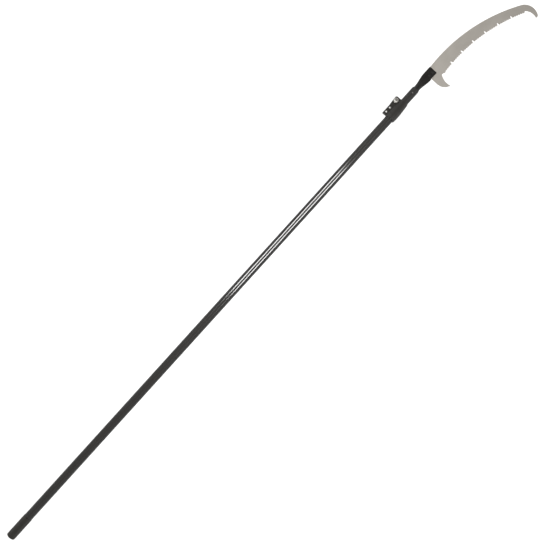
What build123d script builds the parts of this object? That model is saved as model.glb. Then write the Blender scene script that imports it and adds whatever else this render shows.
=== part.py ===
from build123d import *
import math
import os

# A telescoping pole saw lying along +X, with the middle of its butt face at the origin.
# The blade lies flat in the XY plane with its teeth towards -Y, and +Z is up. Millimetres.

# Fits
slide_gap = 0.3
seat_gap = 0.1
running_gap = 0.05

# Pole tubes, both with a groove along the top that keys one tube to the other
outer_od = 30.0
outer_wall = 1.0
outer_length = 1958.0
inner_wall = 1.0
inner_reach = 59.0
groove_width = 6.0
groove_mouth = 10.6
groove_depth = 1.6

# Butt cap
cap_wall = 0.9
cap_floor = 4.0
cap_length = 89.0
cap_corner = 3.0
cap_lip_chamfer = 0.4

# Clamp collar: a round body that swells from its foot and tapers to a lip, with a split ear.
# The raised panel over its key is given half its width at its foot and at its head.
collar_length = 76.0
tube_seat = 42.0
foot_wall = 3.8
swell_wall = 4.6
swell_from_foot = 22.0
taper_from_foot = 36.0
taper_wall = 4.25
lip_wall = 1.8
collar_chamfer = 0.8
ear_thickness = 14.0
ear_slit = 1.6
ear_foot_height = 16.0
ear_crest_height = 19.6
ear_flare_from_foot = 30.0
ear_crest_from_foot = 66.0
ear_below_lip = 1.6
ear_foot_round = 2.0
ear_crest_round = 7.0
ear_edge_round = 0.9
panel_height = 0.5
panel_from_foot = 16.0
panel_length = 46.0
panel_ear_side = (12.9, 8.3)
panel_far_side = (9.5, 7.0)

# Rivets through the lower ear
rivet_count = 2
rivet_shank = 4.0
rivet_head = 6.7
rivet_head_height = 1.0
rivet_margin = 7.0
rivet_from_foot = 10.5
rivet_spacing = 18.4
rivet_recess = 0.5
rivet_recess_rim = 0.5
rivet_washer_od = 9.0
rivet_washer_thickness = 0.8

# Clamp stud with its washer and lock nut
stud_diameter = 6.0
stud_from_foot = 61.0
stud_margin = 9.3
stud_end_above_nut = 0.8
stud_end_chamfer = 0.6
washer_od = 17.2
washer_thickness = 1.5
nut_across_flats = 10.0
nut_height = 8.0
nut_hex_height = 5.6
nut_flange_od = 13.0
nut_flange_thickness = 1.3
nut_crown_chamfer = 0.5
nut_ring_od = 8.7
nut_ring_height = 1.8

# Cam lever behind the ear
cam_radius = 8.0
cam_offset = 1.0
saddle_floor = 2.5
saddle_width = 13.0
saddle_length = 14.0
saddle_dish_half = 4.2
pivot_diameter = 9.0
lever_width = 14.0
lever_length = 57.0
lever_root_half = 6.0
lever_tip_thickness = 4.5
lever_tip_drop = 3.5
lever_tip_round = 1.8
lever_root_round = 4.0
lever_fork_gap = 0.6
lever_grip_radius = 125.0
lever_chamfer = 0.9

# Guide bush in the lower end of the inner tube, with the room left below it when the pole is shut
foot_room = 145.0
bush_plug = 40.0
bush_flange = 6.0
bush_bore = 10.0
bush_pin_diameter = 4.0
bush_pin_from_end = 20.0

# Head socket: a steel tube pressed flat round the blade
socket_wall = 1.5
socket_reach = 90.0
spigot_depth = 120.0
flat_length = 34.0
neck_length = 48.0
fold_trim = 2.2
fold_relief = 1.6
fold_relief_radius = 1.4
leaf_corner = 1.6

# Blind rivet through the inner tube and the socket
head_rivet_from_end = 19.0
head_rivet_diameter = 4.8
head_rivet_flange = 9.4
head_rivet_flange_height = 1.1
head_rivet_flange_rim = 0.5
head_rivet_bulb = 7.0
head_rivet_bulb_length = 3.0
mandrel_diameter = 2.7
mandrel_recess = 0.6
stake_width = 1.8
stake_length = 4.0
stake_depth = 0.6
stake_angle = 36.0

# Blade outline, measured from the socket's front along the pole and sideways from its axis
blade_thickness = 1.5
blade_radius = 607.0
blade_shoulder = 0.3
tang_clear = 3.0
spine_low_along = 46.1
spine_low = 17.0
spine_end_along = 363.4
nose_radius = 46.0
nose_sweep = 97.0
tip_width = 9.4
tip_hook_radius = 41.0
tip_round = 5.0
tooth_low_along = 74.8
tooth_low = 34.0
tooth_start_along = 19.7
tooth_pitch = 3.85
tooth_depth = 5.2
tooth_lean = 20.0
tooth_clear = 1.3
heel_teeth = 10
group_teeth = 12
gullet_count = 6
gullet_width = 4.7
gullet_depth = 10.0
gullet_flare = 0.8
toe_land = 3.4
toe_depth = 6.3
heel_back = 4.2
heel_depth = 2.7
throat_back = 15.3
throat_depth = 1.1
throat_radius = 6.2
hook_back = 27.3
hook_back_length = 42.5
hook_point_back = 5.2
hook_point_drop = 42.0
hook_inner_radius = 53.6
hook_outer_radius = 38.6
hook_round = 1.0

# Rivets through the socket's flat and the blade
blade_rivet_count = 2
blade_rivet_shank = 5.0
blade_rivet_head = 8.0
blade_rivet_head_height = 1.5
blade_rivet_from_front = 9.0
blade_rivet_spacing = 15.0
blade_rivet_side = 3.2

# Stations along the pole
tube_top = cap_floor + outer_length
collar_foot = tube_top - tube_seat
collar_head = collar_foot + collar_length
inner_top = collar_head + inner_reach
inner_foot = cap_floor + foot_room + bush_flange
inner_length = inner_top - inner_foot
spigot_foot = inner_top - spigot_depth
socket_front = inner_top + socket_reach
flat_start = socket_front - flat_length
neck_start = flat_start - neck_length
head_rivet_x = inner_top - head_rivet_from_end

# Depths of the nested layers below the outer tube's surface
inner_inset = outer_wall + slide_gap
bore_inset = inner_inset + inner_wall
outer_radius = outer_od / 2
groove_floor = outer_radius - groove_depth
inner_surface = outer_radius - inner_inset
groove_edge = math.sqrt(outer_radius**2 - (groove_mouth / 2) ** 2)
groove_slope = math.atan2(groove_edge - groove_floor, (groove_mouth - groove_width) / 2)

# Ear and clamp positions
ear_half = ear_thickness / 2
ear_foot_edge = outer_radius + ear_foot_height
ear_crest_edge = outer_radius + ear_crest_height
ear_top = collar_head - ear_below_lip
rivet_y = ear_foot_edge - rivet_margin
rivet_foot = collar_foot + rivet_from_foot
rivet_spots = [(rivet_foot + i * rivet_spacing, rivet_y) for i in range(rivet_count)]
stud_x = collar_foot + stud_from_foot
stud_y = ear_crest_edge - stud_margin
nut_seat = ear_half + washer_thickness
nut_top = nut_seat + nut_height
pivot_z = -(ear_half + saddle_floor + slide_gap + cam_radius + cam_offset)

# Socket and blade sections
socket_od = 2 * (groove_floor - bore_inset - seat_gap)
flat_thickness = 2 * socket_wall + blade_thickness + seat_gap
flat_width = math.pi / 2 * (socket_od - socket_wall) + socket_wall
leaf_edge = flat_width / 2 - fold_trim
blade_rivet_spots = [
    (socket_front - blade_rivet_from_front - i * blade_rivet_spacing, -blade_rivet_side)
    for i in range(blade_rivet_count)
]

os.makedirs("parts", exist_ok=True)


def keep(built, name):
    """Name a finished piece and write it out."""
    built.part.label = name
    export_step(built.part, f"parts/{name}.step")


def groove_half(inset):
    """Half the width of the groove's floor in a layer drawn in by inset."""
    return groove_width / 2 + inset * math.tan(groove_slope / 2)


def keyed_round(x, inset):
    """The pole's grooved round section at x, drawn in by inset all round."""
    half = groove_half(inset)
    floor = groove_floor - inset
    rise = 2 * groove_depth
    spread = rise / math.tan(groove_slope)
    with BuildSketch(Plane.YZ.offset(x)) as section:
        Circle(outer_radius - inset)
        with BuildLine():
            Polyline(
                (half, floor),
                (half + spread, floor + rise),
                (-half - spread, floor + rise),
                (-half, floor),
                close=True,
            )
        make_face(mode=Mode.SUBTRACT)
    return section.sketch


def round_corner(drawing, place, radius):
    """Round the corner of a sketch that lies nearest to a place."""
    fillet(drawing.vertices().sort_by_distance(place)[0], radius)


def disc(plane, radius):
    """A round section on a plane."""
    with BuildSketch(plane) as section:
        Circle(radius)
    return section.sketch


# Outer tube: drawn aluminium, one wall thickness all round its groove
with BuildPart() as outer_tube:
    extrude(keyed_round(cap_floor, 0), amount=outer_length)
    extrude(keyed_round(cap_floor, outer_wall), amount=outer_length, mode=Mode.SUBTRACT)
keep(outer_tube, "outer_tube")

# Butt cap: a rubber cup pushed over the tube's lower end
cap_bore = outer_radius + seat_gap
with BuildPart() as butt_cap:
    extrude(disc(Plane.YZ, cap_bore + cap_wall), amount=cap_length)
    fillet(butt_cap.edges().sort_by(Axis.X)[0], cap_corner)
    extrude(disc(Plane.YZ.offset(cap_floor), cap_bore), amount=cap_length, mode=Mode.SUBTRACT)
    lip = butt_cap.faces().sort_by(Axis.X)[-1]
    chamfer(lip.outer_wire().edges(), cap_lip_chamfer)
keep(butt_cap, "butt_cap")


def collar_half(raised):
    """Half section of the collar's round body, with its outside raised by a height."""
    foot = (collar_foot, outer_radius + foot_wall + raised)
    taper = (collar_foot + taper_from_foot, outer_radius + taper_wall + raised)
    head = (collar_head, inner_surface + slide_gap + lip_wall + raised)
    with BuildSketch(Plane.XY) as section:
        with BuildLine():
            swell = (collar_foot + swell_from_foot, outer_radius + swell_wall + raised)
            ThreePointArc(foot, swell, taper)
            Polyline(taper, head, (collar_head, 0), (collar_foot, 0), foot)
        make_face()
        for rim in (foot, head):
            chamfer(section.vertices().sort_by_distance(rim)[0], collar_chamfer)
    return section.sketch


# Raised panel on the collar, over the key that runs in the tube's groove
panel_foot = collar_foot + panel_from_foot
panel_head = panel_foot + panel_length
with BuildPart() as collar_panel:
    revolve(collar_half(panel_height), axis=Axis.X)
    with BuildSketch(Plane.XY):
        with BuildLine():
            Polyline(
                (panel_foot, panel_ear_side[0]),
                (panel_head, panel_ear_side[1]),
                (panel_head, -panel_far_side[1]),
                (panel_foot, -panel_far_side[0]),
                close=True,
            )
        make_face()
    extrude(amount=outer_od, mode=Mode.INTERSECT)

# Clamp collar: moulded nylon, slit through its ear so that the lever can draw it in
with BuildPart() as clamp_collar:
    with BuildSketch(Plane.XY.offset(-ear_half)) as ear_plan:
        with BuildLine():
            Polyline(
                (collar_foot, 0),
                (collar_foot, ear_foot_edge),
                (collar_foot + ear_flare_from_foot, ear_foot_edge),
                (collar_foot + ear_crest_from_foot, ear_crest_edge),
                (ear_top, ear_crest_edge),
                (ear_top, 0),
                close=True,
            )
        make_face()
        round_corner(ear_plan, (collar_foot, ear_foot_edge), ear_foot_round)
        round_corner(ear_plan, (ear_top, ear_crest_edge), ear_crest_round)
    extrude(amount=ear_thickness)
    ear_rims = clamp_collar.faces().filter_by(Axis.Z).edges()
    fillet(ear_rims.filter_by(lambda e: e.center().Y > outer_radius), ear_edge_round)
    revolve(collar_half(0), axis=Axis.X)
    add(collar_panel.part)
    extrude(keyed_round(collar_foot, -seat_gap), amount=tube_seat, mode=Mode.SUBTRACT)
    extrude(
        keyed_round(tube_top, outer_wall), amount=collar_length - tube_seat, mode=Mode.SUBTRACT
    )
    with BuildSketch(Plane.XY.offset(-ear_slit / 2)):
        with Locations((collar_foot + collar_length / 2, ear_crest_edge / 2)):
            Rectangle(2 * collar_length, ear_crest_edge)
    extrude(amount=ear_slit, mode=Mode.SUBTRACT)
    with Locations(Location((stud_x, stud_y, 0))):
        Cylinder(stud_diameter / 2 + slide_gap, 2 * ear_thickness, mode=Mode.SUBTRACT)
    with Locations(*rivet_spots):
        Cylinder(rivet_shank / 2 + seat_gap, 2 * ear_thickness, mode=Mode.SUBTRACT)
    with BuildSketch(Plane.XY.offset(ear_half - rivet_recess)):
        with Locations(*rivet_spots):
            Circle(rivet_head / 2 + rivet_recess_rim)
    extrude(amount=ear_thickness, mode=Mode.SUBTRACT)
keep(clamp_collar, "clamp_collar")


def dome_rivet(x, y, shank, head, dome, top, bottom):
    """Half section of a rivet along Z with a domed head above top and below bottom."""
    sphere = (head**2 / 4 + dome**2) / (2 * dome)
    half_angle = math.asin(head / 2 / sphere) / 2
    way_out = sphere * math.sin(half_angle)
    way_up = dome - sphere * (1 - math.cos(half_angle))
    with BuildSketch(Plane.XZ.offset(-y)) as section:
        with BuildLine():
            ThreePointArc((x, top + dome), (x + way_out, top + way_up), (x + head / 2, top))
            Polyline(
                (x + head / 2, top),
                (x + shank / 2, top),
                (x + shank / 2, bottom),
                (x + head / 2, bottom),
            )
            ThreePointArc((x + head / 2, bottom), (x + way_out, bottom - way_up), (x, bottom - dome))
            Line((x, bottom - dome), (x, top + dome))
        make_face()
    return section.sketch


# Rivets that keep the lower ear shut on the outer tube, with washers behind the ear
washer_back = -ear_half - rivet_washer_thickness
with BuildPart() as collar_rivets:
    for x, y in rivet_spots:
        half = dome_rivet(
            x, y, rivet_shank, rivet_head, rivet_head_height, ear_half - rivet_recess, washer_back
        )
        revolve(half, axis=Axis((x, y, 0), (0, 0, 1)))
keep(collar_rivets, "collar_rivets")

with BuildPart() as collar_rivet_washers:
    with BuildSketch(Plane.XY.offset(washer_back)):
        with Locations(*rivet_spots):
            Circle(rivet_washer_od / 2)
            Circle(rivet_shank / 2 + seat_gap, mode=Mode.SUBTRACT)
    extrude(amount=rivet_washer_thickness)
keep(collar_rivet_washers, "collar_rivet_washers")

# Clamp stud: threaded rod up through the ear and the nut from the pivot barrel, where its end
# stops inside the barrel's round so that the lever swings clear of it
stud_bottom = pivot_z - math.sqrt((pivot_diameter / 2) ** 2 - (stud_diameter / 2) ** 2)
stud_top = nut_top + stud_end_above_nut
stud_plane = Plane((stud_x, stud_y, 0))
with BuildPart() as clamp_stud:
    extrude(disc(stud_plane.offset(stud_bottom), stud_diameter / 2), amount=stud_top - stud_bottom)
    chamfer(clamp_stud.edges().filter_by(GeomType.CIRCLE), stud_end_chamfer)
keep(clamp_stud, "clamp_stud")

with BuildPart() as clamp_washer:
    with BuildSketch(stud_plane.offset(ear_half)):
        Circle(washer_od / 2)
        Circle(stud_diameter / 2 + slide_gap, mode=Mode.SUBTRACT)
    extrude(amount=washer_thickness)
keep(clamp_washer, "clamp_washer")

# Lock nut: hexagon on a flange, with a rolled crown that holds a nylon ring
with BuildPart() as lock_nut:
    extrude(disc(stud_plane.offset(nut_seat), nut_across_flats / 2), amount=nut_height)
    chamfer(lock_nut.edges().sort_by(Axis.Z)[-1], nut_crown_chamfer)
    with BuildSketch(stud_plane.offset(nut_seat)):
        RegularPolygon(nut_across_flats / 2, 6, major_radius=False)
    extrude(amount=nut_hex_height)
    extrude(disc(stud_plane.offset(nut_seat), nut_flange_od / 2), amount=nut_flange_thickness)
    extrude(
        disc(stud_plane.offset(nut_seat), stud_diameter / 2 + seat_gap),
        amount=nut_height,
        mode=Mode.SUBTRACT,
    )
    extrude(
        disc(stud_plane.offset(nut_top - nut_ring_height), nut_ring_od / 2 + seat_gap),
        amount=nut_height,
        mode=Mode.SUBTRACT,
    )
keep(lock_nut, "lock_nut")

with BuildPart() as lock_nut_ring:
    with BuildSketch(stud_plane.offset(nut_top - nut_ring_height)):
        Circle(nut_ring_od / 2)
        Circle(stud_diameter / 2 + seat_gap, mode=Mode.SUBTRACT)
    extrude(amount=nut_ring_height)
keep(lock_nut_ring, "lock_nut_ring")

# Cam saddle: dished pad on the back of the ear
cam_centre_z = pivot_z + cam_offset
dish_radius = cam_radius + slide_gap
saddle_edge = cam_centre_z + math.sqrt(dish_radius**2 - saddle_dish_half**2)
with BuildPart() as cam_saddle:
    with BuildSketch(Plane.XY.offset(saddle_edge)):
        with Locations((stud_x, stud_y)):
            RectangleRounded(saddle_length, saddle_width, ear_foot_round)
            Circle(stud_diameter / 2 + slide_gap, mode=Mode.SUBTRACT)
    extrude(amount=-ear_half - saddle_edge)
    with BuildSketch(Plane.XZ.offset(-stud_y)):
        with Locations((stud_x, cam_centre_z)):
            Circle(dish_radius)
    extrude(amount=saddle_width, both=True, mode=Mode.SUBTRACT)
keep(cam_saddle, "cam_saddle")

# Cam pivot: cross-drilled barrel that the stud screws into, turning in the lever's fork
lever_back = Plane.XZ.offset(-stud_y - lever_width / 2)
with BuildPart() as cam_pivot:
    with BuildSketch(lever_back):
        with Locations((stud_x, pivot_z)):
            Circle(pivot_diameter / 2)
    extrude(amount=lever_width)
    extrude(
        disc(stud_plane.offset(pivot_z), stud_diameter / 2 + seat_gap),
        amount=pivot_diameter,
        both=True,
        mode=Mode.SUBTRACT,
    )
keep(cam_pivot, "cam_pivot")

# Cam lever: forked cam head and a handle that lies along the back of the ear
root_rise = math.sqrt(cam_radius**2 - lever_root_half**2)
tip_x = stud_x - lever_length
tip_z = pivot_z - lever_tip_drop + lever_tip_thickness / 2
root_x = stud_x - lever_root_half
fork_half = stud_diameter / 2 + lever_fork_gap
top_root = (root_x, cam_centre_z + root_rise)
low_root = (root_x, cam_centre_z - root_rise)
top_tip = (tip_x, tip_z + lever_tip_thickness / 2)
low_tip = (tip_x, tip_z - lever_tip_thickness / 2)
with BuildPart() as cam_lever:
    with BuildSketch(lever_back) as lever_plan:
        with BuildLine():
            Polyline(low_root, top_root, top_tip, low_tip)
            RadiusArc(low_tip, low_root, lever_grip_radius)
        make_face()
        with Locations((stud_x, cam_centre_z)):
            Circle(cam_radius)
        for place in (top_tip, low_tip):
            round_corner(lever_plan, place, lever_tip_round)
        for place in (top_root, low_root):
            round_corner(lever_plan, place, lever_root_round)
    extrude(amount=lever_width)
    side_faces = cam_lever.faces().filter_by(Axis.Y)
    chamfer(side_faces.edges(), lever_chamfer)
    with BuildSketch(lever_back):
        with Locations((stud_x, pivot_z)):
            Circle(pivot_diameter / 2 + running_gap)
    extrude(amount=lever_width, mode=Mode.SUBTRACT)
    with BuildSketch(Plane.XY.offset(pivot_z)):
        with Locations((stud_x + lever_length / 2 - fork_half, stud_y)):
            Rectangle(lever_length, 2 * fork_half)
    extrude(amount=4 * cam_radius, both=True, mode=Mode.SUBTRACT)
keep(cam_lever, "cam_lever")

# Inner tube: slides in the outer one, pierced for the head rivet and for the guide bush's pin
inner_groove_floor = groove_floor - inner_inset
pin_plane = Plane.XZ.offset(-inner_surface)
with BuildPart() as inner_tube:
    extrude(keyed_round(inner_foot, inner_inset), amount=inner_length)
    extrude(keyed_round(inner_foot, bore_inset), amount=inner_length, mode=Mode.SUBTRACT)
    extrude(
        disc(Plane((head_rivet_x, 0, 0)), head_rivet_diameter / 2 + seat_gap),
        amount=outer_od,
        mode=Mode.SUBTRACT,
    )
    with BuildSketch(pin_plane):
        with Locations((inner_foot + bush_pin_from_end, 0)):
            Circle(bush_pin_diameter / 2 + seat_gap)
    extrude(amount=2 * inner_surface, mode=Mode.SUBTRACT)
    for side in (1, -1):
        lean = math.radians(side * stake_angle)
        outward = (0, math.sin(lean), math.cos(lean))
        foot = Vector(outward) * (inner_surface - stake_depth) + Vector(head_rivet_x, 0, 0)
        with BuildSketch(Plane(foot, x_dir=(1, 0, 0), z_dir=outward)):
            Rectangle(stake_width, stake_length)
        extrude(amount=2 * stake_depth, mode=Mode.SUBTRACT)
keep(inner_tube, "inner_tube")

# Guide bush: nylon plug whose flange keeps the inner tube central in the outer one
with BuildPart() as guide_bush:
    extrude(keyed_round(inner_foot, bore_inset + seat_gap), amount=bush_plug)
    extrude(keyed_round(inner_foot - bush_flange, inner_inset), amount=bush_flange)
    extrude(
        disc(Plane.YZ.offset(inner_foot - bush_flange), bush_bore / 2),
        amount=bush_flange + bush_plug,
        mode=Mode.SUBTRACT,
    )
    with BuildSketch(pin_plane):
        with Locations((inner_foot + bush_pin_from_end, 0)):
            Circle(bush_pin_diameter / 2 + seat_gap)
    extrude(amount=2 * inner_surface, mode=Mode.SUBTRACT)
keep(guide_bush, "guide_bush")

with BuildPart() as bush_pin:
    with BuildSketch(Plane.XZ.offset(-inner_surface + slide_gap)):
        with Locations((inner_foot + bush_pin_from_end, 0)):
            Circle(bush_pin_diameter / 2)
    extrude(amount=2 * (inner_surface - slide_gap))
keep(bush_pin, "bush_pin")

# Reducer sleeve: split nylon sleeve, open along the tube's groove
sleeve_radius = outer_radius - bore_inset - seat_gap
sleeve_slot = groove_mouth + 2 * slide_gap
with BuildPart() as reducer_sleeve:
    with BuildSketch(Plane.YZ.offset(spigot_foot)):
        Circle(sleeve_radius)
        Circle(socket_od / 2 + seat_gap, mode=Mode.SUBTRACT)
        with Locations((0, sleeve_radius)):
            Rectangle(sleeve_slot, 2 * sleeve_radius, mode=Mode.SUBTRACT)
    extrude(amount=spigot_depth)
keep(reducer_sleeve, "reducer_sleeve")


# A hair past the circle's 45 degree point, so that every section keeps four edges to loft between
corner_share = 0.708


def squashed_round(x, squash, inset):
    """Section of the socket tube at x: round at squash 0, pressed flat at 1, drawn in by inset."""
    half_width = (socket_od + squash * (flat_width - socket_od)) / 2 - inset
    half_height = (socket_od + squash * (flat_thickness - socket_od)) / 2 - inset
    corner_y = (1 - squash) * corner_share * half_width + squash * (half_width - half_height)
    corner_z = (1 - squash) * corner_share * half_height + squash * half_height
    with BuildSketch(Plane.YZ.offset(x)) as section:
        with BuildLine():
            for side in (1, -1):
                start = (-side * corner_y, side * corner_z)
                end = (side * corner_y, side * corner_z)
                below = (side * corner_y, -side * corner_z)
                if squash < 1:
                    ThreePointArc(start, (0, side * half_height), end)
                else:
                    Line(start, end)
                ThreePointArc(end, (side * half_width, 0), below)
        make_face()
    return section.sketch


# Head socket: round spigot, neck and flat, with the teeth-side fold cut away for the blade
neck_shares = (0, 0.2, 0.4, 0.6, 0.8, 1)
relief_x = socket_front - hook_back - fold_relief
with BuildPart() as head_socket:
    for inset, mode in ((0, Mode.ADD), (socket_wall, Mode.SUBTRACT)):
        extrude(
            squashed_round(spigot_foot, 0, inset), amount=neck_start - spigot_foot, mode=mode
        )
        loft(
            [
                squashed_round(neck_start + f * neck_length, f * f * (3 - 2 * f), inset)
                for f in neck_shares
            ],
            ruled=inset > 0,
            mode=mode,
        )
        extrude(squashed_round(flat_start, 1, inset), amount=flat_length, mode=mode)
    with BuildSketch(Plane.XY):
        with Locations(((relief_x + socket_front) / 2, -leaf_edge - flat_width / 2)):
            Rectangle(socket_front - relief_x, flat_width)
        with Locations((relief_x, -leaf_edge)):
            Circle(fold_relief_radius)
    extrude(amount=flat_thickness, both=True, mode=Mode.SUBTRACT)
    leaf_corners = head_socket.edges().filter_by(Axis.Z)
    fillet(leaf_corners.sort_by_distance((socket_front, -leaf_edge, 0))[:2], leaf_corner)
    with Locations(*blade_rivet_spots):
        Cylinder(blade_rivet_shank / 2 + seat_gap, 2 * flat_thickness, mode=Mode.SUBTRACT)
    extrude(
        disc(Plane((head_rivet_x, 0, 0)), head_rivet_diameter / 2 + seat_gap),
        amount=outer_od,
        mode=Mode.SUBTRACT,
    )
keep(head_socket, "head_socket")

# Head rivet: blind rivet seated across the groove's slopes, with the broken stem left inside
bulb_radius = head_rivet_bulb / 2
bulb_top = math.sqrt((socket_od / 2 - socket_wall) ** 2 - bulb_radius**2) - seat_gap
bulb_bottom = bulb_top - head_rivet_bulb_length
flange_overhang = head_rivet_flange / 2 - groove_half(inner_inset)
flange_seat = inner_groove_floor + flange_overhang * math.tan(groove_slope) + seat_gap
flange_top = flange_seat + head_rivet_flange_height
rivet_axis = Axis((head_rivet_x, 0, 0), (0, 0, 1))
with BuildPart() as head_rivet:
    with BuildSketch(Plane.XZ):
        with BuildLine():
            hole_x = head_rivet_x + mandrel_diameter / 2 + seat_gap
            rim_x = head_rivet_x + head_rivet_flange / 2
            shank_x = head_rivet_x + head_rivet_diameter / 2
            Polyline(
                (hole_x, flange_top),
                (shank_x, flange_top),
                (rim_x, flange_seat + head_rivet_flange_rim),
                (rim_x, flange_seat),
                (shank_x, flange_seat),
                (shank_x, bulb_top),
                (head_rivet_x + bulb_radius, bulb_top),
                (head_rivet_x + bulb_radius, bulb_bottom),
                (hole_x, bulb_bottom),
                close=True,
            )
        make_face()
    revolve(axis=rivet_axis)
keep(head_rivet, "head_rivet")

with BuildPart() as head_rivet_mandrel:
    mandrel_plane = Plane((head_rivet_x, 0, bulb_bottom))
    mandrel_length = flange_top - mandrel_recess - bulb_bottom
    extrude(disc(mandrel_plane, mandrel_diameter / 2), amount=mandrel_length)
keep(head_rivet_mandrel, "head_rivet_mandrel")


def blade_point(along, side):
    """A blade outline point: along from the socket's front, side from the pole's axis."""
    return Vector(socket_front + along, -side)


def tooth_point(length, depth):
    """A point at a length along the tooth line from its first root, depth behind the tips."""
    start = math.asin((tooth_start_along - tooth_low_along) / blade_radius)
    angle = start + length / blade_radius
    reach = blade_radius + depth
    along = tooth_low_along + reach * math.sin(angle)
    return blade_point(along, tooth_low + blade_radius - reach * math.cos(angle))


def spine_point(along):
    """A point on the blade's back."""
    rise = blade_radius - math.sqrt(blade_radius**2 - (along - spine_low_along) ** 2)
    return blade_point(along, rise - spine_low)


# Blade: ground spring steel, toothed in groups on its hollow edge, with a hook at each end
tang_back = tang_clear - flat_length
tang_edge = (flat_width - flat_thickness) / 2
heel = tooth_point(-heel_back, heel_depth)
throat = tooth_point(-throat_back, throat_depth)
hook_point = throat + Vector(-hook_point_back, -hook_point_drop)
hook_heel = blade_point(-hook_back, hook_back_length)
spine_end = spine_point(spine_end_along)
spine_slope = math.asin((spine_end_along - spine_low_along) / blade_radius)
with BuildPart() as blade:
    with BuildSketch(Plane.XY.offset(-blade_thickness / 2)) as blade_plan:
        with BuildLine():
            Polyline(
                hook_heel,
                blade_point(-hook_back, tang_edge),
                blade_point(tang_back, tang_edge),
                blade_point(tang_back, -tang_edge),
                blade_point(blade_shoulder, -tang_edge),
                spine_point(blade_shoulder),
            )
            RadiusArc(spine_point(blade_shoulder), spine_end, blade_radius)
            nose = JernArc(
                spine_end,
                (math.cos(spine_slope), -math.sin(spine_slope)),
                nose_radius,
                -nose_sweep,
            )
            tip = nose @ 1 + Vector(-tip_width, 0)
            Line(nose @ 1, tip)
            place = 0.0
            edge = [heel]
            notches = []
            for group in range(gullet_count + 1):
                tips = heel_teeth if group == 0 else group_teeth
                notches.append([place + i * tooth_pitch for i in range(1, tips)])
                for tooth in range(tips):
                    edge.append(tooth_point(place + tooth_pitch / 2, 0))
                    place += tooth_pitch
                edge.append(tooth_point(place, tooth_depth))
                if group < gullet_count:
                    round_radius = (gullet_width - gullet_flare) / 2
                    near = tooth_point(place, gullet_depth - round_radius)
                    low = tooth_point(place + round_radius, gullet_depth)
                    far = tooth_point(place + 2 * round_radius, gullet_depth - round_radius)
                    Polyline(*edge, near)
                    ThreePointArc(near, low, far)
                    place += gullet_width
                    edge = [far, tooth_point(place, tooth_depth)]
            toe = tooth_point(place + toe_land, toe_depth)
            Polyline(*edge, toe)
            RadiusArc(tip, toe, -tip_hook_radius)
            RadiusArc(heel, throat, -throat_radius)
            RadiusArc(throat, hook_point, -hook_inner_radius)
            RadiusArc(hook_point, hook_heel, hook_outer_radius)
        make_face()
        round_corner(blade_plan, nose @ 1, tip_round)
        for place in (tip, hook_point):
            round_corner(blade_plan, place, hook_round)
    extrude(amount=blade_thickness)
    for places in notches:
        along = (tooth_point(places[-1], 0) - tooth_point(places[0], 0)).normalized()
        for first, way in ((0, 1), (1, -1)):
            lean = Vector(0, 0, 1) + along * way * math.tan(math.radians(tooth_lean))
            with BuildSketch(Plane.XY) as cuts:
                for place in places[first::2]:
                    root = tooth_point(place, tooth_depth)
                    near = tooth_point(place - tooth_pitch / 2, 0) - root
                    far = tooth_point(place + tooth_pitch / 2, 0) - root
                    with BuildLine():
                        Polyline(root + near * tooth_clear, root, root + far * tooth_clear, close=True)
                    make_face()
            extrude(cuts.sketch, amount=blade_thickness, dir=lean, both=True, mode=Mode.SUBTRACT)
    with Locations(*blade_rivet_spots):
        Cylinder(blade_rivet_shank / 2 + seat_gap, 2 * blade_thickness, mode=Mode.SUBTRACT)
keep(blade, "blade")

# Blade rivets: domed heads on both faces of the flat
with BuildPart() as blade_rivets:
    for x, y in blade_rivet_spots:
        half = dome_rivet(
            x,
            y,
            blade_rivet_shank,
            blade_rivet_head,
            blade_rivet_head_height,
            flat_thickness / 2,
            -flat_thickness / 2,
        )
        revolve(half, axis=Axis((x, y, 0), (0, 0, 1)))
keep(blade_rivets, "blade_rivets")
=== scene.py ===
import math

import bpy
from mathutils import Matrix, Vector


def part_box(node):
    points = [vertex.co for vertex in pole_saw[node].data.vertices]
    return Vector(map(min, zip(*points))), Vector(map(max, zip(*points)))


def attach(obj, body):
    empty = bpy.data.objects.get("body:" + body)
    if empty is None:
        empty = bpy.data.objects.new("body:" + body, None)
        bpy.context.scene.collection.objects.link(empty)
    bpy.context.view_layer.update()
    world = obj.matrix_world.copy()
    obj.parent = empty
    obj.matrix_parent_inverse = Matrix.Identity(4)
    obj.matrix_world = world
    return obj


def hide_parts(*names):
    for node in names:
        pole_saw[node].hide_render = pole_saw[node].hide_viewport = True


# A telescoping pole saw, put together from its lower tube up to its blade.
# It lies along +X with its teeth towards -Y, in metres.
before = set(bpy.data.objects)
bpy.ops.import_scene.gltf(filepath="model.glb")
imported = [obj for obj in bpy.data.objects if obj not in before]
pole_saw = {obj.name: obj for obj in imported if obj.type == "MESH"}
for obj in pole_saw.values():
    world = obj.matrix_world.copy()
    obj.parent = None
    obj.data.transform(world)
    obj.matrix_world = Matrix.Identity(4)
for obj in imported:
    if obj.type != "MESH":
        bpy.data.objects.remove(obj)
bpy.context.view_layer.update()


# Outer tube: the lower half of the pole, drawn aluminium with a keyway groove
# rolled along its top, its sawn ends filed smooth. It is coated in a fine black
# powder that shows pale specks and is burnished by the key inside the groove.
pole_radius = 0.0150
tube_wall = 0.0010
groove_width = 0.0060
groove_mouth = 0.0106
groove_depth = 0.0016
filed_edge = 0.0002
steps_round = 120


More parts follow.
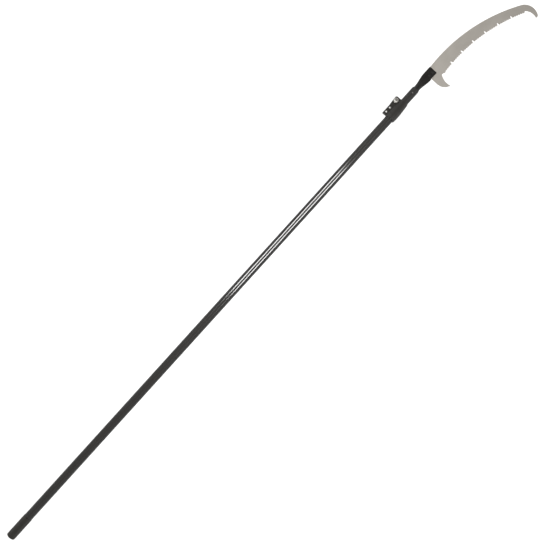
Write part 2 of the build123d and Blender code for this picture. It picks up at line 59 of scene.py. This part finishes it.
def grooved_ring(x, inset):
    """Points round the pole's grooved section at x, drawn in by inset all round."""
    groove_edge = math.sqrt(pole_radius**2 - (groove_mouth / 2) ** 2)
    slope = math.atan2(groove_edge - pole_radius + groove_depth, (groove_mouth - groove_width) / 2)
    half = groove_width / 2 + inset * math.tan(slope / 2)
    floor = pole_radius - groove_depth - inset
    radius = pole_radius - inset
    lean = half * math.cos(slope) + floor * math.sin(slope)
    run = math.sqrt(lean**2 - half**2 - floor**2 + radius**2) - lean
    start = math.atan2(half + run * math.cos(slope), floor + run * math.sin(slope))
    step = 2 * (math.pi - start) / steps_round
    turns = [start + i * step for i in range(steps_round + 1)]
    arc = [(x, radius * math.sin(turn), radius * math.cos(turn)) for turn in turns]
    return arc + [(x, -half, floor), (x, half, floor)]


def tube_rings(low, high, skin, stations=()):
    """Rings out along a tube's outside, by way of given stations, and back along its bore."""
    bore = skin + tube_wall
    out = [(low, skin + filed_edge), (low + filed_edge, skin)]
    out += [(x, skin) for x in stations]
    out += [(high - filed_edge, skin), (high, skin + filed_edge)]
    back = [(high, bore - filed_edge), (high - filed_edge, bore)]
    back += [(low + filed_edge, bore), (low, bore - filed_edge)]
    return [grooved_ring(x, inset) for x, inset in out + back]


def drawn_tube(name, node, body, rings, made):
    """Skins rings into a closed tube that stands for a packed one."""
    count = len(rings[0])
    faces = []
    for near in range(len(rings)):
        far = (near + 1) % len(rings)
        for this in range(count):
            that = (this + 1) % count
            corners = ((near, this), (far, this), (far, that), (near, that))
            faces.append([ring * count + point for ring, point in corners])
    mesh = bpy.data.meshes.new(name)
    mesh.from_pydata([point for ring in rings for point in ring], [], faces)
    mesh.shade_smooth()
    mesh.set_sharp_from_angle(angle=math.radians(12))
    mesh.materials.append(made)
    tube = bpy.data.objects.new(name, mesh)
    bpy.context.scene.collection.objects.link(tube)
    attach(tube, body)
    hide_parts(node)


def finish(name):
    """Starts a finish. Gives it with its shader and a function that wires in one more node."""
    made = bpy.data.materials.new(name)
    made.use_nodes = True
    tree = made.node_tree
    shader = tree.nodes["Principled BSDF"]

    def wire(kind, settings=None, **wires):
        node = tree.nodes.new("ShaderNode" + kind)
        for key, value in (settings or {}).items():
            setattr(node, key, value)
        for key, value in wires.items():
            socket = node.inputs[int(key[2:]) if key.startswith("in") else key.replace("_", " ")]
            if isinstance(value, bpy.types.NodeSocket):
                tree.links.new(value, socket)
            else:
                socket.default_value = value
        return node

    def drive(socket, source):
        tree.links.new(source, shader.inputs[socket])

    return made, shader, wire, drive


def shades(wire, amount, *stops):
    """Turns an amount from 0 to 1 into colours, each stop a place with its red, green and blue."""
    ramp = wire("ValToRGB", Fac=amount)
    band = ramp.color_ramp.elements
    while len(band) < len(stops):
        band.new(0.5)
    for element, (place, red, green, blue) in zip(band, stops):
        element.position = place
        element.color = (red, green, blue, 1)
    return ramp.outputs["Color"]


def spread(wire, amount, low, high, dark=0.3, bright=0.7):
    """Stretches the middle of an amount over a range of values."""
    return wire(
        "MapRange", Value=amount, From_Min=dark, From_Max=bright, To_Min=low, To_Max=high
    ).outputs["Result"]


def grain(wire, scale, detail=3.0, stretch=(1, 1, 1)):
    """Noise fixed to the piece, with so many features to the metre."""
    place = wire("TexCoord").outputs["Object"]
    drawn = wire("Mapping", Vector=place, Scale=stretch).outputs["Vector"]
    return wire("TexNoise", Vector=drawn, Scale=scale, Detail=detail).outputs["Fac"]


def powder_black(name, specks, skin):
    """Matt black powder with pale specks over faint draw lines, burnished smooth in the groove."""
    made, shader, wire, drive = finish(name)
    groove_half = groove_mouth / 2 + filed_edge
    groove_foot = pole_radius - groove_depth - skin - filed_edge
    powder = grain(wire, 1500, 2.0)
    draw_lines = grain(wire, 1.0, 4.0, (3, 900, 900))
    handling = grain(wire, 9, 5.0, (0.4, 1, 1))
    split = wire("SeparateXYZ", Vector=wire("TexCoord").outputs["Object"])
    across = wire("Math", {"operation": "ABSOLUTE"}, in0=split.outputs["Y"])
    near = wire("Math", {"operation": "LESS_THAN"}, in0=across.outputs["Value"], in1=groove_half)
    above = wire("Math", {"operation": "GREATER_THAN"}, in0=split.outputs["Z"], in1=groove_foot)
    burnished = wire(
        "Math", {"operation": "MULTIPLY"}, in0=near.outputs["Value"], in1=above.outputs["Value"]
    )
    drive(
        "Base Color",
        shades(
            wire,
            powder,
            (0.0, 0.0080, 0.0074, 0.0066),
            (specks, 0.0106, 0.0099, 0.0088),
            (specks + 0.09, 0.062, 0.058, 0.053),
        ),
    )
    matt = wire(
        "Math",
        {"operation": "MULTIPLY_ADD"},
        in0=draw_lines,
        in1=0.10,
        in2=spread(wire, handling, 0.38, 0.46),
    )
    drive("Roughness", matt.outputs["Value"])
    rough_skin = wire("Bump", Height=powder, Strength=0.08, Distance=0.0003)
    lined_skin = wire(
        "Bump", Height=draw_lines, Strength=0.05, Distance=0.0002, Normal=rough_skin.outputs["Normal"]
    )
    drive("Normal", lined_skin.outputs["Normal"])
    drive("Coat Weight", burnished.outputs["Value"])
    rubbed = grain(wire, 1.0, 3.0, (8, 2400, 2400))
    drive("Coat Normal", wire("Bump", Height=rubbed, Strength=0.10, Distance=0.0001).outputs["Normal"])
    shader.inputs["Coat Roughness"].default_value = 0.10
    shader.inputs["Coat IOR"].default_value = 1.75
    shader.inputs["Specular IOR Level"].default_value = 0.45
    return made


outer_low, outer_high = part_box("outer_tube")
drawn_tube(
    "drawn_outer_tube",
    "outer_tube",
    "outer_pole",
    tube_rings(outer_low.x, outer_high.x, 0),
    powder_black("powder_black_outer", 0.60, 0),
)


# Butt cap: a dipped rubber cup pushed over the lower end of the pole.
# Dull black, with a fine skin and dusty scuffs round its rounded end.
def dress(node, made):
    """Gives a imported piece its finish."""
    skin = pole_saw[node].data
    skin.materials.clear()
    skin.materials.append(made)


def cap_rubber():
    made, shader, wire, drive = finish("cap_rubber")
    skin = grain(wire, 1100, 4.0)
    scuffs = grain(wire, 42, 6.0, (1, 1.6, 1.6))
    drive(
        "Base Color",
        shades(
            wire,
            scuffs,
            (0.30, 0.0280, 0.0265, 0.0225),
            (0.58, 0.0360, 0.0340, 0.0290),
            (0.78, 0.0600, 0.0565, 0.0500),
        ),
    )
    drive("Roughness", spread(wire, scuffs, 0.50, 0.72))
    drive("Normal", wire("Bump", Height=skin, Strength=0.18, Distance=0.0004).outputs["Normal"])
    shader.inputs["Specular IOR Level"].default_value = 0.42
    return made


dress("butt_cap", cap_rubber())


# Clamp collar: moulded black nylon, slit through its ear, riveted round the lower
# tube at its foot and drawn in on the sliding tube by the lever at its head.
def moulded_nylon(name, grain_size, gloss):
    """Black nylon from a spark-grained mould, with paler flow marks."""
    made, shader, wire, drive = finish(name)
    mould = grain(wire, grain_size, 3.0)
    flow = grain(wire, 26, 5.0, (0.5, 1, 1))
    drive(
        "Base Color",
        shades(
            wire,
            flow,
            (0.25, 0.0150, 0.0133, 0.0112),
            (0.60, 0.0215, 0.0192, 0.0163),
            (0.85, 0.0295, 0.0267, 0.0228),
        ),
    )
    drive("Roughness", spread(wire, mould, gloss - 0.07, gloss + 0.09))
    drive("Normal", wire("Bump", Height=mould, Strength=0.30, Distance=0.0003).outputs["Normal"])
    shader.inputs["Specular IOR Level"].default_value = 0.48
    return made


collar_nylon = moulded_nylon("collar_nylon", 1300, 0.52)
dress("clamp_collar", collar_nylon)


# Collar rivets and their washers: zinc-plated steel, set through the lower ear so
# that the collar stays put on the outer tube.
def zinc_plate(name, turned_x=None, turned_y=None):
    """Bright zinc with cloudy passivation, and turning marks round an upright axis if one is given."""
    made, shader, wire, drive = finish(name)
    cloud = grain(wire, 240, 5.0)
    pits = grain(wire, 2600, 2.0)
    drive(
        "Base Color",
        shades(
            wire,
            cloud,
            (0.28, 0.700, 0.705, 0.695),
            (0.50, 0.820, 0.815, 0.790),
            (0.72, 0.770, 0.745, 0.690),
        ),
    )
    drive("Roughness", spread(wire, cloud, 0.34, 0.48))
    marks = pits
    if turned_x is not None:
        place = wire("TexCoord").outputs["Object"]
        moved = wire("Mapping", Vector=place, Location=(-turned_x, -turned_y, 0))
        flat = wire("Mapping", Vector=moved.outputs["Vector"], Scale=(1, 1, 0))
        rings = wire(
            "TexWave",
            {"wave_type": "RINGS", "rings_direction": "SPHERICAL"},
            Vector=flat.outputs["Vector"],
            Scale=520.0,
            Distortion=1.5,
        )
        marks = wire("Math", {"operation": "ADD"}, in0=pits, in1=rings.outputs["Fac"]).outputs["Value"]
    drive("Normal", wire("Bump", Height=marks, Strength=0.12, Distance=0.0001).outputs["Normal"])
    shader.inputs["Metallic"].default_value = 1.0
    return made


plain_zinc = zinc_plate("plain_zinc")
dress("collar_rivets", plain_zinc)
dress("collar_rivet_washers", plain_zinc)


# Clamp stud with its washer, lock nut and nylon ring: a length of M6 rod that runs
# from the lever's pivot up through both halves of the ear, its nut sat on the washer.
stud_low, stud_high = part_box("clamp_stud")
stud_axis = ((stud_low.x + stud_high.x) / 2, (stud_low.y + stud_high.y) / 2)
turned_zinc = zinc_plate("turned_zinc", *stud_axis)
for turned in ("clamp_washer", "lock_nut"):
    dress(turned, turned_zinc)


def rolled_thread():
    """Zinc rod with a rolled thread. The wave texture has 0.314 m to a turn at a scale of 1."""
    made, shader, wire, drive = finish("rolled_thread")
    thread_pitch = 0.001
    wave_turn = 0.314
    cloud = grain(wire, 300, 4.0)
    place = wire("TexCoord").outputs["Object"]
    thread = wire(
        "TexWave",
        {"wave_type": "BANDS", "bands_direction": "Z", "wave_profile": "TRI"},
        Vector=place,
        Scale=wave_turn / thread_pitch,
    )
    drive(
        "Base Color",
        shades(wire, cloud, (0.3, 0.56, 0.56, 0.54), (0.7, 0.70, 0.68, 0.64)),
    )
    drive("Roughness", spread(wire, cloud, 0.24, 0.38))
    drive(
        "Normal",
        wire("Bump", Height=thread.outputs["Fac"], Strength=0.6, Distance=0.0004).outputs["Normal"],
    )
    shader.inputs["Metallic"].default_value = 1.0
    return made


dress("clamp_stud", rolled_thread())
dress("lock_nut_ring", moulded_nylon("ring_nylon", 2600, 0.38))

# Cam saddle, pivot and lever: the quick-release behind the ear. The lever is a
# forked nylon moulding that turns on a steel barrel and presses on the saddle's dish.
dress("cam_saddle", moulded_nylon("saddle_nylon", 2100, 0.40))
dress("cam_pivot", plain_zinc)
dress("cam_lever", moulded_nylon("lever_nylon", 1500, 0.40))

# Inner tube: slides in the outer one, keyed by the same groove, under a smoother coat
# of the same powder. A punch has staked it on both sides of the rivet that holds the head.
slide_gap = 0.0003
inner_skin = tube_wall + slide_gap
inner_radius = pole_radius - inner_skin
stake_turn = math.radians(36)
stake_half_width = 0.0009
stake_half_length = 0.0020
stake_depth = 0.0006
stake_slope = 0.0001
inner_low, inner_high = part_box("inner_tube")
head_rivet_low, head_rivet_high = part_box("head_rivet")
head_rivet_x = (head_rivet_low.x + head_rivet_high.x) / 2


def staked(point):
    """The point, pushed in if it lies under one of the two punch marks."""
    x, y, z = point
    turn = math.atan2(y, z)
    off = abs(turn) - stake_turn
    if abs(x - head_rivet_x) > stake_half_width or abs(off) * inner_radius > stake_half_length:
        return point
    sunk = (inner_radius - stake_depth) / math.cos(off)
    return x, sunk * math.sin(turn), sunk * math.cos(turn)


stake_rims = (-stake_half_width - stake_slope, stake_slope - stake_half_width)
stake_rims += (stake_half_width - stake_slope, stake_half_width + stake_slope)
inner_rings = tube_rings(
    inner_low.x, inner_high.x, inner_skin, [head_rivet_x + rim for rim in stake_rims]
)
drawn_tube(
    "drawn_inner_tube",
    "inner_tube",
    "inner_pole",
    [[staked(point) for point in ring] for ring in inner_rings],
    powder_black("powder_black_inner", 0.66, inner_skin),
)

# Guide bush and its pin: a turned nylon plug in the lower end of the inner tube
# that keeps it central, held by a steel cross pin.
dress("guide_bush", moulded_nylon("bush_nylon", 2400, 0.42))
dress("bush_pin", plain_zinc)

# Reducer sleeve: a split nylon sleeve that fills the room between the inner tube
# and the socket's round end.
dress("reducer_sleeve", moulded_nylon("sleeve_nylon", 2400, 0.42))


# Head rivet and its stem: a blind rivet with a black head, pulled up in the groove
# through tube, sleeve and socket. The broken steel stem shows in its middle.
def rivet_black():
    made, shader, wire, drive = finish("rivet_black")
    coat = grain(wire, 900, 4.0)
    drive(
        "Base Color",
        shades(
            wire,
            coat,
            (0.35, 0.014, 0.013, 0.012),
            (0.62, 0.024, 0.022, 0.020),
            (0.78, 0.11, 0.105, 0.10),
        ),
    )
    drive("Roughness", spread(wire, coat, 0.30, 0.46))
    drive("Normal", wire("Bump", Height=coat, Strength=0.15, Distance=0.0002).outputs["Normal"])
    shader.inputs["Specular IOR Level"].default_value = 0.6
    return made


dress("head_rivet", rivet_black())
dress("head_rivet_mandrel", plain_zinc)


# Head socket: a steel tube pressed flat round the blade's tang and painted black.
# The paint is thick and even, with paler streaks painted over it at random as painted highlight,
# standing in for the sheen on the neck's creases.
def socket_paint(name):
    made, shader, wire, drive = finish(name)
    orange_peel = grain(wire, 520, 3.0)
    sheen_streaks = grain(wire, 70, 6.0, (1.0, 2.5, 2.5))
    # Painted highlight: the paler stop of the paint colour follows the streak noise, scattered at random
    # over the piece, standing in for sheen on pressed creases.
    drive(
        "Base Color",
        shades(
            wire,
            sheen_streaks,
            (0.30, 0.0100, 0.0096, 0.0088),
            (0.62, 0.0140, 0.0133, 0.0121),
            (0.82, 0.0320, 0.0302, 0.0272),
        ),
    )
    drive("Roughness", spread(wire, sheen_streaks, 0.34, 0.48))
    drive("Normal", wire("Bump", Height=orange_peel, Strength=0.10, Distance=0.0004).outputs["Normal"])
    shader.inputs["Specular IOR Level"].default_value = 0.34
    return made


black_paint = socket_paint("socket_paint")
dress("head_socket", black_paint)


# Blade: ground spring steel, satin along its curve, its teeth cut in groups, bevelled
# left and right in turn, with a hook at each end, its side faces darkened as painted shade. The socket's
# rivets hold it.
def ground_blade():
    """Satin steel with grinding lines along the blade's back, its side faces painted darker as painted
    shade, picked by the way they face.
    """
    made, shader, wire, drive = finish("ground_blade")
    curve_x, curve_y, curve_radius = 2.1911, -0.590, 0.607
    place = wire("TexCoord").outputs["Object"]
    split = wire("SeparateXYZ", Vector=place)
    out_x = wire("Math", {"operation": "SUBTRACT"}, in0=split.outputs["X"], in1=curve_x)
    out_y = wire("Math", {"operation": "SUBTRACT"}, in0=split.outputs["Y"], in1=curve_y)
    turn = wire("Math", {"operation": "ARCTAN2"}, in0=out_x.outputs["Value"], in1=out_y.outputs["Value"])
    flat = wire("CombineXYZ", X=out_x.outputs["Value"], Y=out_y.outputs["Value"])
    reach = wire("VectorMath", {"operation": "LENGTH"}, in0=flat.outputs["Vector"])
    along = wire("Math", {"operation": "MULTIPLY"}, in0=turn.outputs["Value"], in1=curve_radius)
    laid_out = wire("CombineXYZ", X=along.outputs["Value"], Y=reach.outputs["Value"]).outputs["Vector"]
    drawn = wire("Mapping", Vector=laid_out, Scale=(14, 2600, 1)).outputs["Vector"]
    lines = wire("TexNoise", Vector=drawn, Scale=1.0, Detail=4.0).outputs["Fac"]
    cloud = grain(wire, 16, 5.0)
    tone = wire(
        "Math",
        {"operation": "MULTIPLY_ADD"},
        in0=lines,
        in1=0.45,
        in2=spread(wire, cloud, 0.10, 0.45),
    )
    flats = shades(
        wire,
        tone.outputs["Value"],
        (0.20, 0.540, 0.512, 0.470),
        (0.50, 0.590, 0.562, 0.520),
        (0.80, 0.640, 0.612, 0.570),
    )
    # Painted shade: side faces and tooth bevels, picked by how far they turn from straight up or down,
    # get a darker steel colour.
    facing = wire("SeparateXYZ", Vector=wire("NewGeometry").outputs["True Normal"]).outputs["Z"]
    upright = wire("Math", {"operation": "ABSOLUTE"}, in0=facing)
    edge = spread(wire, upright.outputs["Value"], 1.0, 0.0, 0.90, 0.97)
    shade_steel_colour = (0.200, 0.172, 0.145, 1)
    shaded_edges_colour = wire("Mix", {"data_type": "RGBA"}, in0=edge, in6=flats, in7=shade_steel_colour)
    drive("Base Color", shaded_edges_colour.outputs[2])
    drive("Roughness", spread(wire, lines, 0.54, 0.66))
    drive("Normal", wire("Bump", Height=lines, Strength=0.08, Distance=0.0001).outputs["Normal"])
    shader.inputs["Metallic"].default_value = 1.0
    return made


dress("blade", ground_blade())

# Blade rivets: two domed steel rivets through socket and blade, painted over with
# the socket.
dress("blade_rivets", socket_paint("rivet_paint"))

# Floor and light: white paper, far enough under the saw for its lever to swing open,
# lit by two long soft boxes either side of the pole, with an even white surround.
floor_skin, floor_shader, wire, drive = finish("white_paper")
floor_shader.inputs["Base Color"].default_value = (0.86, 0.86, 0.86, 1)
floor_shader.inputs["Roughness"].default_value = 0.9
floor_shader.inputs["Specular IOR Level"].default_value = 0.1
floor_shader.inputs["Emission Color"].default_value = (1, 1, 1, 1)
floor_glow = 0.62
seen = wire("LightPath").outputs
direct = wire("Math", {"operation": "MAXIMUM"}, in0=seen["Is Camera Ray"], in1=seen["Is Glossy Ray"])
shown = wire(
    "Math", {"operation": "MAXIMUM"}, in0=direct.outputs["Value"], in1=seen["Is Transmission Ray"]
)
glow = wire("Math", {"operation": "MULTIPLY"}, in0=shown.outputs["Value"], in1=floor_glow)
drive("Emission Strength", glow.outputs["Value"])

lever_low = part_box("cam_lever")[0]
pivot_low, pivot_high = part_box("cam_pivot")
lever_reach = (pivot_low.x + pivot_high.x) / 2 - lever_low.x
lever_room = 0.004
floor_height = (pivot_low.z + pivot_high.z) / 2 - lever_reach - lever_room
floor_reach = 9.0
floor_corners = [
    (across * floor_reach, along * floor_reach, floor_height)
    for across, along in ((-1, -1), (1, -1), (1, 1), (-1, 1))
]
floor_mesh = bpy.data.meshes.new("floor")
floor_mesh.from_pydata(floor_corners, [], [(0, 1, 2, 3)])
floor_mesh.materials.append(floor_skin)
floor = bpy.data.objects.new("floor", floor_mesh)
bpy.context.scene.collection.objects.link(floor)

surround = bpy.data.worlds.new("surround")
bpy.context.scene.world = surround
surround.use_nodes = True
tree = surround.node_tree
back = tree.nodes["Background"]
way = tree.nodes.new("ShaderNodeTexCoord")
height = tree.nodes.new("ShaderNodeSeparateXYZ")
tree.links.new(way.outputs["Generated"], height.inputs["Vector"])
room = tree.nodes.new("ShaderNodeValToRGB")
tree.links.new(height.outputs["Z"], room.inputs["Fac"])
tree.links.new(room.outputs["Color"], back.inputs["Color"])
walls, ceiling = room.color_ramp.elements
walls.position, walls.color = 0.30, (1, 1, 1, 1)
ceiling.position, ceiling.color = 0.90, (0.230, 0.218, 0.200, 1)
surround_light = 0.70
seen = tree.nodes.new("ShaderNodeLightPath").outputs
direct = tree.nodes.new("ShaderNodeMath")
direct.operation = "MAXIMUM"
tree.links.new(seen["Is Camera Ray"], direct.inputs[0])
tree.links.new(seen["Is Glossy Ray"], direct.inputs[1])
shown = tree.nodes.new("ShaderNodeMath")
shown.operation = "MAXIMUM"
tree.links.new(direct.outputs["Value"], shown.inputs[0])
tree.links.new(seen["Is Transmission Ray"], shown.inputs[1])
level = tree.nodes.new("ShaderNodeMath")
level.operation = "MULTIPLY_ADD"
level.inputs[1].default_value = 1 - surround_light
level.inputs[2].default_value = surround_light
tree.links.new(shown.outputs["Value"], level.inputs[0])
tree.links.new(level.outputs["Value"], back.inputs["Strength"])

box_height = 2.0
box_out = 1.19
box_middle = 1.53
for side in (1, -1):
    lamp = bpy.data.lights.new("soft_box", "AREA")
    lamp.shape = "RECTANGLE"
    lamp.size = 1.08
    lamp.size_y = 0.32
    lamp.energy = 17.0
    soft_box = bpy.data.objects.new("soft_box", lamp)
    soft_box.location = (box_middle, side * box_out, box_height)
    soft_box.rotation_euler = (-side * math.atan2(box_out, box_height), 0, 0)
    bpy.context.scene.collection.objects.link(soft_box)

# Camera: a normal lens straight above the saw, so that the blade is seen on its flat,
# turned until the pole rises to the upper right.
lens = bpy.data.cameras.new("overhead")
lens.lens = 50
lens.sensor_width = 36
overhead = bpy.data.objects.new("overhead", lens)
view_middle = (1.265, -0.0690)
view_height = 2.602
pole_rise = math.radians(47.82)
overhead.location = (*view_middle, view_height)
overhead.rotation_euler = (0, 0, -pole_rise)
bpy.context.scene.collection.objects.link(overhead)
bpy.context.scene.camera = overhead
bpy.context.scene.view_settings.view_transform = "Standard"
